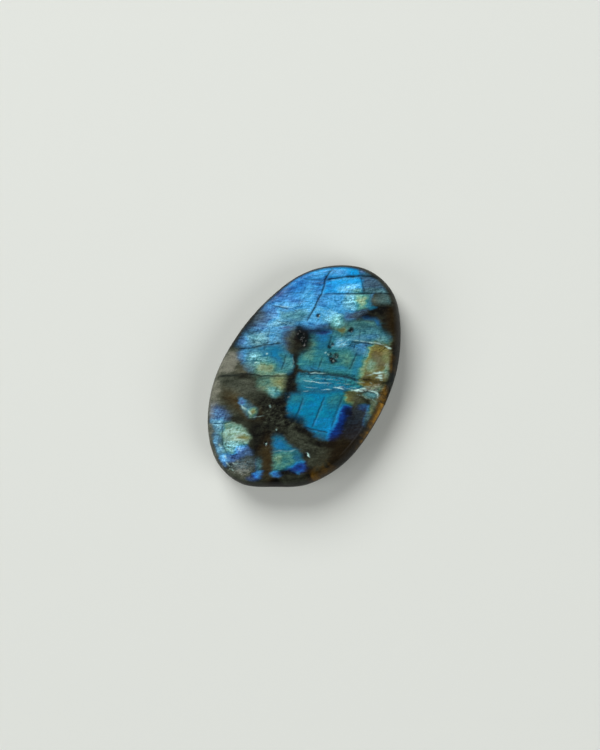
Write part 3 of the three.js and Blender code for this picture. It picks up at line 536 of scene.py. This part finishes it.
def patch_cover(along, across, row, count):
    """How far inside a row's oval or area each place is, from 0 to 1, and the row's values."""
    corners = [part for part in row if isinstance(part, tuple)]
    if corners:
        softness, *values = row[len(corners):]
        inside = np.zeros(along.shape, bool)
        for (start_a, start_c), (end_a, end_c) in zip(corners, corners[1:] + corners[:1]):
            if start_c != end_c:
                share = (across - start_c) / (end_c - start_c)
                crossed = (start_c > across) != (end_c > across)
                inside ^= crossed & (along < start_a + share * (end_a - start_a))
        gap = line_distance(along, across, corners + corners[:1])
        fade = AREA_FADE[0] + AREA_FADE[1] * softness
        cover = 0.5 + np.where(inside, gap, -gap) / (2 * fade)
    else:
        place_a, place_c, half_a, half_c = row[:4]
        values, rest = row[4:4 + count], row[4 + count:]
        turn = math.radians(rest[0]) if rest else 0
        softness = rest[1] if len(rest) > 1 else USUAL_SOFTNESS
        along, across = along - place_a, across - place_c
        length = along * math.cos(turn) + across * math.sin(turn)
        width = across * math.cos(turn) - along * math.sin(turn)
        fade = min(OVAL_FADE_MOST, OVAL_FADE[0] + OVAL_FADE[1] * softness)
        cover = (1 + fade - np.hypot(length / half_a, width / half_c)) / (2 * fade)
    return eased(np.clip(cover, 0, 1)), values


def strongest(along, across, rows):
    covers = [patch_cover(along, across, row, 1) for row in rows]
    return np.max([strength * cover for cover, (strength,) in covers], axis=0)


def line_glow(along, across, rows, taper, gaps, seed):
    """The strongest of these soft lines at each place, thinning out over this share of each end."""
    # It breaks in long runs and short ones, and its width swells and shrinks
    broken = np.clip(1 - 0.1 * gaps + 0.6 * gaps * drift(along, across, 0.5, seed), 0, 1)
    broken = broken * np.clip(1 + 0.6 * gaps * drift(along, across, 0.16, seed + 1), 0, 1)
    uneven = np.clip(0.95 + 0.8 * gaps * drift(along, across, 0.4, seed + 2), 0.4, 1.6)
    glow = np.zeros(along.shape)
    for *points, width, strength in rows:
        line = np.array(points)
        runs = np.hypot(*(line[1:] - line[:-1]).T)
        gone = np.concatenate([[0], np.cumsum(runs)])
        for start, end, run, before in zip(line, line[1:], runs, gone):
            way = (end - start) / run
            place = np.clip((along - start[0]) * way[0] + (across - start[1]) * way[1], 0, run)
            gap = np.hypot(along - start[0] - place * way[0], across - start[1] - place * way[1])
            share = (before + place) / gone[-1]
            ends = np.clip(np.minimum(share, 1 - share) / taper, 0, 1) ** 0.5
            near = np.exp(-((gap / (width * uneven * (0.5 + 0.5 * ends))) ** 2))
            glow = np.maximum(glow, strength * ends * near * broken)
    return glow


def painted(x, y):
    """Everything the material needs to know at each place on the stone, by name."""
    true_along, true_across = to_cleavage(x, y)
    feather = FEATHER * drift(true_along, true_across * FEATHER_STRETCH, 2.0, 5)
    along = wandered(true_along, x, y, ALONG_WANDER) + feather
    across = wandered(true_across, x, y, ACROSS_WANDER)
    line_along = wandered(true_along, x, y, LINE_ALONG_WANDER)
    line_across = wandered(true_across, x, y, LINE_ACROSS_WANDER)
    spacing, shade = np.full(x.shape, UNMARKED_SPACING), np.full(x.shape, UNMARKED_SHADE)
    flash, pale = np.zeros(x.shape), np.zeros(x.shape)
    for rows, count in ((FLASHES, 3), (BARE_ROCK, 2), (ROCK_FLASHES, 3)):
        for row in rows:
            cover, values = patch_cover(along, across, row, count)
            if rows is BARE_ROCK:
                rock_shade, hidden = values
                shade += (rock_shade - shade) * cover
                flash *= 1 - hidden * cover
                pale *= 1 - hidden * cover
            else:
                layers, bright, faint = values
                strength = cover * bright
                share = strength / np.maximum(flash * (1 - cover) + strength, 1e-6)
                spacing += (layers - spacing) * share
                flash += (bright - flash) * cover
                pale += (faint - pale) * cover
    crack = line_glow(line_along, line_across, CRACKS, taper=0.08, gaps=0.3, seed=21)
    for pit_x, pit_y, radius, _ in PITS:
        hole = np.clip(PIT_REACH - np.hypot(x - pit_x, y - pit_y) / radius, 0, PIT_DARKNESS)
        crack = np.maximum(crack, hole)
    # Painted highlight: a faint bright line along one lip of each crack, where the flash is
    lip_along, lip_across = line_along - LIP_SHIFT[0], line_across - LIP_SHIFT[1]
    painted_lip_highlights = line_glow(lip_along, lip_across, CRACKS, taper=0.3, gaps=0.8, seed=22)
    painted_lip_highlights *= LIP_BRIGHTNESS * np.minimum(flash, 1) * (1 - crack)
    gleam = line_glow(line_along, line_across, GLEAMS, taper=0.3, gaps=0.8, seed=23)
    # Painted glow where light comes through the thin amber rims; the real iron stains join it below
    amber = line_glow(true_along, true_across, GLOWING_AMBER_RIMS, taper=0.2, gaps=0.6, seed=25)
    fresh = sum(bed_depth(x, y, stations) > 0 for stations in (FLAKE_BED, SMALL_STEP, EDGE_NICK))
    return dict(spacing=spacing, flash=flash, pale=pale, shade=shade, crack=crack,
                speckle=strongest(along, across, SPECKLES), gleam=np.maximum(gleam, painted_lip_highlights),
                amber=np.maximum(strongest(along, across, STAINS), amber),
                fresh=np.minimum(fresh, 1.0))


# The stone's surface, as one closed skin: a net of small squares over the face, rings down the
# rounded shoulder, round under the side and across the flat back to its middle.
NET_CELLS = 256
SHOULDER_RINGS = 12
SIDE_RINGS = 9
BACK_RINGS = 6


def stone_skin():
    """The skin's points, how far each lies inside the girdle, and its faces."""
    side = np.linspace(-1, 1, NET_CELLS + 1)
    p, q = np.meshgrid(side, side, indexing="ij")
    wide = np.abs(p) >= np.abs(q)
    reach = np.where(wide, p, q)
    ratio = np.divide(np.where(wide, q, p), reach, out=np.zeros_like(p), where=reach != 0)
    angle = np.where(wide, ratio * np.pi / 4, np.pi / 2 - ratio * np.pi / 4)
    angle = np.where(reach < 0, angle + np.pi, angle).ravel()
    share = np.abs(reach).ravel()
    edge, outward = edge_and_outward(angle)
    flat = (edge - SHOULDER_WIDTH * outward) * share[:, None]
    places = [np.column_stack([flat, face_height(*flat.T)])]
    insets = [SHOULDER_WIDTH + (1 - share) * HALF_WIDTH]

    number = np.arange((NET_CELLS + 1) ** 2).reshape(NET_CELLS + 1, NET_CELLS + 1)
    faces = np.stack([number[:-1, :-1], number[1:, :-1], number[1:, 1:], number[:-1, 1:]], -1)
    faces = [tuple(face) for face in faces.reshape(-1, 4).tolist()]
    loop = np.concatenate([number[:-1, 0], number[-1, :-1], number[:0:-1, -1], number[0, :0:-1]])
    loop_edge, loop_outward = edge[loop], outward[loop]
    count = len(loop)
    last_ring = loop
    total = len(share)

    def add_ring(flat_place, height, inset):
        nonlocal last_ring, total
        places.append(np.column_stack([flat_place, np.full(count, height)]))
        insets.append(np.full(count, inset))
        ring = np.arange(total, total + count)
        total += count
        following = np.roll(last_ring, -1), np.roll(ring, -1)
        quads = np.stack([last_ring, ring, following[1], following[0]], -1)
        faces.extend(tuple(face) for face in quads.tolist())
        last_ring = ring

    for step in range(1, SHOULDER_RINGS + 1):
        bend = step / SHOULDER_RINGS * np.pi / 2
        inset = SHOULDER_WIDTH * (1 - math.sin(bend))
        flat_place = loop_edge - inset * loop_outward
        drop = SHOULDER_DROP * (1 - math.cos(bend))
        add_ring(flat_place, face_height(*flat_place.T) - drop, inset)
    for step in range(1, SIDE_RINGS + 1):
        bend = step / SIDE_RINGS * np.pi / 2
        inset = BACK_INSET * (1 - math.cos(bend))
        height = GIRDLE_HEIGHT * (1 - math.sin(bend))
        add_ring(loop_edge - inset * loop_outward, height, -inset)
    back_edge = loop_edge - BACK_INSET * loop_outward
    for step in range(1, BACK_RINGS + 1):
        add_ring(back_edge * (1 - step / (BACK_RINGS + 1)), 0, -BACK_INSET)
    places.append(np.zeros((1, 3)))
    insets.append(np.full(1, -BACK_INSET))
    after = np.roll(last_ring, -1)
    faces.extend((int(a), total, int(b)) for a, b in zip(last_ring, after))
    return np.concatenate(places), np.concatenate(insets), faces


# The finished skin. The face's colours die out below the girdle, where the side is plain rock,
# and painted shade darkens the shoulder towards it, as the flash turns away. Amber reaches a
# little lower.
LOWEST_CUT = 0.5
SIDE_FADE = 1.8
SIDE_SHADE = 0.62
# Painted shade: the colour is darkened down the shoulder to GIRDLE_LIGHT at the girdle, and the side
# below is lightened again by SIDE_LIGHT
SIDE_LIGHT = 0.6
GIRDLE_LIGHT, LIGHT_RISE = 0.3, 1.1
AMBER_TOP, AMBER_FADE = 0.3, 1.3
GRAIN_ALONG_WANDER = ((0.2, 2.5, 41),)
GRAIN_ACROSS_WANDER = ((0.3, 3.5, 42),)
METRES = 0.001

places, insets, faces = stone_skin()
x, y, height = places.T  # views, so a change to one of them moves the places
height[:] = np.where(height > LOWEST_CUT, carved(x, y, height), height)
fields = painted(x, y)
below = np.clip((GIRDLE_HEIGHT - height) / SIDE_FADE, 0, 1)
fields["amber"] *= 1 - np.clip((GIRDLE_HEIGHT + AMBER_TOP - height) / AMBER_FADE, 0, 1)
fields["shade"] += (SIDE_SHADE - fields["shade"]) * below
fields["crack"] *= 1 - below
fields["gleam"] *= 1 - below
fields["inset"] = insets
# painted shade, darker down the shoulder towards the girdle and lighter again down the side
light = np.clip(GIRDLE_LIGHT + LIGHT_RISE * insets, GIRDLE_LIGHT, 1)
fields["lightness"] = light + SIDE_LIGHT * below
outline, _ = edge_and_outward(np.linspace(0, 2 * np.pi, 1440, endpoint=False))
places[:, :2] -= (outline.max(0) + outline.min(0)) / 2

skin = bpy.data.meshes.new("labradorite")
skin.from_pydata((places * METRES).tolist(), [], faces)
skin.update()
for name, values in fields.items():
    layer = skin.attributes.new(name, "FLOAT", "POINT")
    layer.data.foreach_set("value", values.astype(np.float32))
along, across = to_cleavage(x, y)
along = wandered(along, x, y, GRAIN_ALONG_WANDER)
across = wandered(across, x, y, GRAIN_ACROSS_WANDER)
grained = np.column_stack([along - across * STEEP_LEAN, across, height])
layer = skin.attributes.new("cleavage", "FLOAT_VECTOR", "POINT")
layer.data.foreach_set("vector", grained.astype(np.float32).ravel())
for face in skin.polygons:
    face.use_smooth = True
stone = bpy.data.objects.new("labradorite", skin)
bpy.context.collection.objects.link(stone)


# The look of the feldspar. Layer spacing picks the colour of the flash, strength lays it over
# the rock, and fine streaks along the cleavage and grains break both up.
FLASH_COLOURS = (
    (0, (36, 28, 84)), (0.1, (4, 44, 116)), (0.2, (8, 70, 168)), (0.3, (22, 126, 208)),
    (0.38, (14, 154, 224)), (0.46, (0, 122, 164)), (0.54, (8, 120, 142)), (0.62, (38, 126, 126)),
    (0.7, (84, 148, 122)), (0.78, (134, 162, 112)), (0.86, (126, 130, 72)), (0.94, (106, 96, 48)),
    (1, (72, 62, 30)),
)
ROCK_COLOURS = (
    (0, (4, 6, 5)), (0.15, (17, 17, 12)), (0.35, (39, 42, 32)), (0.5, (55, 60, 48)),
    (0.75, (82, 87, 74)), (1, (128, 129, 115)),
)
PALE_COLOUR = (158, 214, 232)
# amber is both the iron stains and the painted glow of the thin rims
AMBER_COLOUR = (146, 106, 22)
CRACK_COLOUR = (8, 18, 20)
# the colour of the painted highlights
GLEAM_COLOUR = (204, 248, 240)
GRAIN_SCALES = (
    # name, detail, roughness, and the scale along, across and down through the main cleavage
    ("streak", 3, 0.6, (0.9, 4.2, 2.5)),
    ("thin", 2, 0.6, (2.2, 8.0, 4.0)),
    ("hatch", 2, 0.55, (4.5, 0.8, 3.0)),
    ("fine", 2, 0.6, (5.0, 5.0, 5.0)),
    ("speckle", 4, 0.72, (2.0, 2.6, 2.6)),
    ("mottle", 3, 0.6, (0.8, 1.3, 0.9)),
)
BLOCK_SCALES = (("blocks", (0.9, 2.6, 0.5)), ("slabs", (0.32, 0.8, 0.3)))
HAIRLINE_SCALE = (0.42, 1.1, 0.4)
HAIRLINE_SHARPNESS = 16
FLASH_STRENGTH, BLOOM_STRENGTH = 1.04, 0.8
SPECKLE_DEPTH, DEEPEST_GRAIN = 0.5, 0.25
CRACK_DULLING = -0.6
RELIEF_HEIGHT = 0.05 * METRES
# a pair's first number multiplies a field of the skin, and its second is added to that
FLASH_EDGE, POLISH_EDGE = (2.4, -0.85), (6, -5.4)
BLOOM_UNREST, FRESH_UNREST = (1, 0.5), 0.5
POLISH_WEIGHT = (0.6, 0.08)
FRESH_RELIEF = (0.5, 0.3)


def screen_colour(red, green, blue):
    """The linear colour of a shade given as it looks on a screen, from 0 to 255."""
    def linear(part):
        part /= 255
        return part / 12.92 if part <= 0.04045 else ((part + 0.055) / 1.055) ** 2.4
    return (linear(red), linear(green), linear(blue), 1)


def made(tree, kind, inputs, **settings):
    """A new node with these settings, whose inputs get these values or are wired to sockets."""
    node = tree.nodes.new(kind)
    for name, value in settings.items():
        setattr(node, name, value)
    for key, value in inputs.items():
        if isinstance(value, bpy.types.NodeSocket):
            tree.links.new(value, node.inputs[key])
        else:
            node.inputs[key].default_value = value
    return node


def worked(tree, operation, *values, clamp=False):
    """What a Math node makes of these values or sockets."""
    inputs = dict(enumerate(values))
    return made(tree, "ShaderNodeMath", inputs, operation=operation, use_clamp=clamp).outputs[0]


def scaled(tree, value, scale, base, clamp=False):
    return worked(tree, "MULTIPLY_ADD", value, scale, base, clamp=clamp)


def ramped(tree, place, stops):
    """The colour at this place on a row of stops."""
    ramp = made(tree, "ShaderNodeValToRGB", {0: place})
    elements = ramp.color_ramp.elements
    while len(elements) < len(stops):
        elements.new(0.5)
    for element, (stop, colour) in zip(elements, stops):
        element.position = stop
        element.color = screen_colour(*colour)
    return ramp.outputs[0]


def laid_over(tree, factor, below, above):
    """One colour over another, by this factor."""
    inputs = {0: factor, 6: below, 7: above}
    return made(tree, "ShaderNodeMix", inputs, data_type="RGBA").outputs[2]


def grains(tree):
    """Streaks and blocks along both cleavages, fine grain and slow mottling, from -1 to 1."""
    cleavage = made(tree, "ShaderNodeAttribute", {}, attribute_name="cleavage")

    def stretched(scale):
        inputs = {"Vector": cleavage.outputs["Vector"], "Scale": scale}
        return {"Vector": made(tree, "ShaderNodeMapping", inputs).outputs[0], "Scale": 1}

    found = {}
    for name, detail, roughness, scale in GRAIN_SCALES:
        inputs = {**stretched(scale), "Detail": detail, "Roughness": roughness}
        noise = made(tree, "ShaderNodeTexNoise", inputs)
        found[name] = scaled(tree, noise.outputs["Fac"], 4, -2)
    for name, scale in BLOCK_SCALES:
        cells = made(tree, "ShaderNodeTexVoronoi", stretched(scale), distance="CHEBYCHEV")
        tone = made(tree, "ShaderNodeSeparateColor", {0: cells.outputs["Color"]})
        found[name] = scaled(tree, tone.outputs[0], 2, -1)
    inputs = stretched(HAIRLINE_SCALE)
    cells = made(tree, "ShaderNodeTexVoronoi", inputs, feature="DISTANCE_TO_EDGE")
    sharp = -HAIRLINE_SHARPNESS
    found["hairline"] = scaled(tree, cells.outputs["Distance"], sharp, 1, clamp=True)
    return found


def feldspar(names):
    """Polished labradorite that reads these fields of the skin."""
    material = bpy.data.materials.new("polished labradorite")
    material.use_nodes = True
    tree = material.node_tree
    shader = tree.nodes["Principled BSDF"]
    grain = grains(tree)
    field = {}
    for name in names:
        attribute = made(tree, "ShaderNodeAttribute", {}, attribute_name=name)
        field[name] = attribute.outputs["Fac"]

    def added(base, **amounts):
        for name, amount in amounts.items():
            base = scaled(tree, grain[name], amount, base)
        return base

    def times(first, second, clamp=False):
        return worked(tree, "MULTIPLY", first, second, clamp=clamp)

    # The flash and its pale bloom stop short of the stone's edge
    rim = scaled(tree, field["inset"], *FLASH_EDGE, clamp=True)
    spacing = added(field["spacing"], mottle=0.04, streak=0.02, blocks=0.02, slabs=0.02)
    breaks = added(FLASH_STRENGTH, fine=0.1, streak=0.1, blocks=0.05, slabs=0.03)
    strength = times(times(field["flash"], rim), breaks)
    lively = added(BLOOM_STRENGTH, streak=0.4, thin=0.3, hatch=0.2, fine=0.2, blocks=0.25)
    pale = times(times(field["pale"], rim), lively, clamp=True)
    shade = added(field["shade"], mottle=0.14, fine=0.06)
    shade = scaled(tree, times(grain["speckle"], field["speckle"]), SPECKLE_DEPTH, shade)

    # The grain shows most in the pale bloom and on the fresh floor of the lost flake
    unrest = scaled(tree, field["pale"], *BLOOM_UNREST)
    unrest = scaled(tree, field["fresh"], FRESH_UNREST, unrest)
    texture = added(0, streak=0.22, thin=0.32, hatch=0.2, fine=0.26, blocks=0.14, slabs=0.12,
                    mottle=0.16, hairline=-0.4)
    light = worked(tree, "MAXIMUM", scaled(tree, texture, unrest, 1), DEEPEST_GRAIN)
    # Painted shade darkens the shoulder, lifted where the amber glow or the stains lie
    light = times(light, worked(tree, "MAXIMUM", field["lightness"], field["amber"]))
    light = times(light, worked(tree, "MAXIMUM", strength, 1))
    strength = worked(tree, "MINIMUM", strength, 1)

    flash = ramped(tree, spacing, FLASH_COLOURS)
    colour = laid_over(tree, strength, ramped(tree, shade, ROCK_COLOURS), flash)
    colour = laid_over(tree, pale, colour, screen_colour(*PALE_COLOUR))
    # the iron stains, and the painted glow of the thin rims
    colour = laid_over(tree, field["amber"], colour, screen_colour(*AMBER_COLOUR))
    inputs = {0: colour, "Scale": light}
    colour = made(tree, "ShaderNodeVectorMath", inputs, operation="SCALE").outputs[0]
    colour = laid_over(tree, field["crack"], colour, screen_colour(*CRACK_COLOUR))
    # Painted highlights along lips, walls and glints
    colour = laid_over(tree, field["gleam"], colour, screen_colour(*GLEAM_COLOUR))
    tree.links.new(colour, shader.inputs["Base Color"])

    # The polish covers the face and the shoulder, and ends where a crack or a pit is open
    polish = scaled(tree, field["inset"], *POLISH_EDGE, clamp=True)
    polish = scaled(tree, polish, *POLISH_WEIGHT)
    polish = scaled(tree, field["crack"], CRACK_DULLING, polish, clamp=True)
    tree.links.new(polish, shader.inputs["Coat Weight"])
    shader.inputs["Coat Roughness"].default_value = 0.08
    shader.inputs["Roughness"].default_value = 0.5
    shader.inputs["Specular IOR Level"].default_value = 0.05
    relief = added(0, streak=0.6, fine=0.4, hatch=0.2)
    relief = times(relief, scaled(tree, field["fresh"], *FRESH_RELIEF))
    inputs = {"Strength": 1, "Distance": RELIEF_HEIGHT, "Height": relief}
    bump = made(tree, "ShaderNodeBump", inputs)
    tree.links.new(bump.outputs[0], shader.inputs["Normal"])
    return material


skin.materials.append(feldspar(fields))
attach(stone, "root")
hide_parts("labradorite_stone")


# The floor and the light: a plain pale sheet under a soft studio. Nothing bright stands where
# the flat face would mirror it into the camera. Lengths from here on are metres.
FLOOR_REACH = 1.5
FLOOR_COLOUR = (232, 235, 229)
PICTURE_RIGHT = mathutils.Vector((math.cos(MAIN_CLEAVAGE), math.sin(MAIN_CLEAVAGE), 0))
PICTURE_UP = mathutils.Vector((-math.sin(MAIN_CLEAVAGE), math.cos(MAIN_CLEAVAGE), 0))
LIGHT_HEIGHT = 0.75
LIGHTS = (
    # name, how far right and up in the picture it stands, how wide it is, and its power
    ("key", -0.35, 0.75, 0.8, 9.8),
    ("fill", 0.85, -0.45, 0.9, 6.6),
    ("side", -0.95, -0.35, 0.9, 4.0),
)
ROOM_LIGHT = 0.06


def floor_sheet():
    sheet = bpy.data.meshes.new("floor")
    reach = FLOOR_REACH
    corners = [(-reach, -reach, 0), (reach, -reach, 0), (reach, reach, 0), (-reach, reach, 0)]
    sheet.from_pydata(corners, [], [(0, 1, 2, 3)])
    paper = bpy.data.materials.new("pale paper")
    paper.use_nodes = True
    shader = paper.node_tree.nodes["Principled BSDF"]
    shader.inputs["Base Color"].default_value = screen_colour(*FLOOR_COLOUR)
    shader.inputs["Roughness"].default_value = 0.9
    shader.inputs["Specular IOR Level"].default_value = 0.1
    sheet.materials.append(paper)
    floor = bpy.data.objects.new("floor", sheet)
    bpy.context.collection.objects.link(floor)


def soft_box(name, rightward, upward, size, power):
    light = bpy.data.lights.new(name, "AREA")
    light.shape = "DISK"
    light.size = size
    light.energy = power
    lamp = bpy.data.objects.new(name, light)
    height = mathutils.Vector((0, 0, LIGHT_HEIGHT))
    lamp.location = rightward * PICTURE_RIGHT + upward * PICTURE_UP + height
    lamp.rotation_euler = lamp.location.to_track_quat("Z", "Y").to_euler()
    bpy.context.collection.objects.link(lamp)


floor_sheet()
for row in LIGHTS:
    soft_box(*row)
world = bpy.data.worlds.new("studio")
world.use_nodes = True
world.node_tree.nodes["Background"].inputs["Color"].default_value = (1, 1, 1, 1)
world.node_tree.nodes["Background"].inputs["Strength"].default_value = ROOM_LIGHT
bpy.context.scene.world = world
bpy.context.scene.view_settings.view_transform = "Standard"


# The camera looks almost straight down on the face, tipped 11 degrees towards the chipped edge
# and turned so that the stone leans to the right.
CAMERA_TILT = math.radians(11)
CAMERA_DISTANCE = 0.4
PIXELS_PER_MM = 7.1
PICTURE_HEIGHT = 750
SENSOR = 36
STONE_OFF_CENTRE = (6.4, 3.0)  # pixels to the right and down

towards = mathutils.Vector((math.sin(CAMERA_TILT), 0, math.cos(CAMERA_TILT)))
up = (PICTURE_UP - PICTURE_UP.dot(towards) * towards).normalized()
right = up.cross(towards)
seen_middle = mathutils.Vector((0, 0, GIRDLE_HEIGHT * METRES))
pixel = METRES / PIXELS_PER_MM
aim = seen_middle - right * STONE_OFF_CENTRE[0] * pixel + up * STONE_OFF_CENTRE[1] * pixel
lens = bpy.data.cameras.new("camera")
lens.sensor_fit = "VERTICAL"
lens.sensor_height = SENSOR
lens.lens = PIXELS_PER_MM * CAMERA_DISTANCE / METRES * SENSOR / PICTURE_HEIGHT
lens.clip_start = 0.01
camera = bpy.data.objects.new("camera", lens)
turn = mathutils.Matrix((right, up, towards)).transposed()
camera.matrix_world = mathutils.Matrix.Translation(aim + towards * CAMERA_DISTANCE) @ turn.to_4x4()
bpy.context.collection.objects.link(camera)
bpy.context.scene.camera = camera
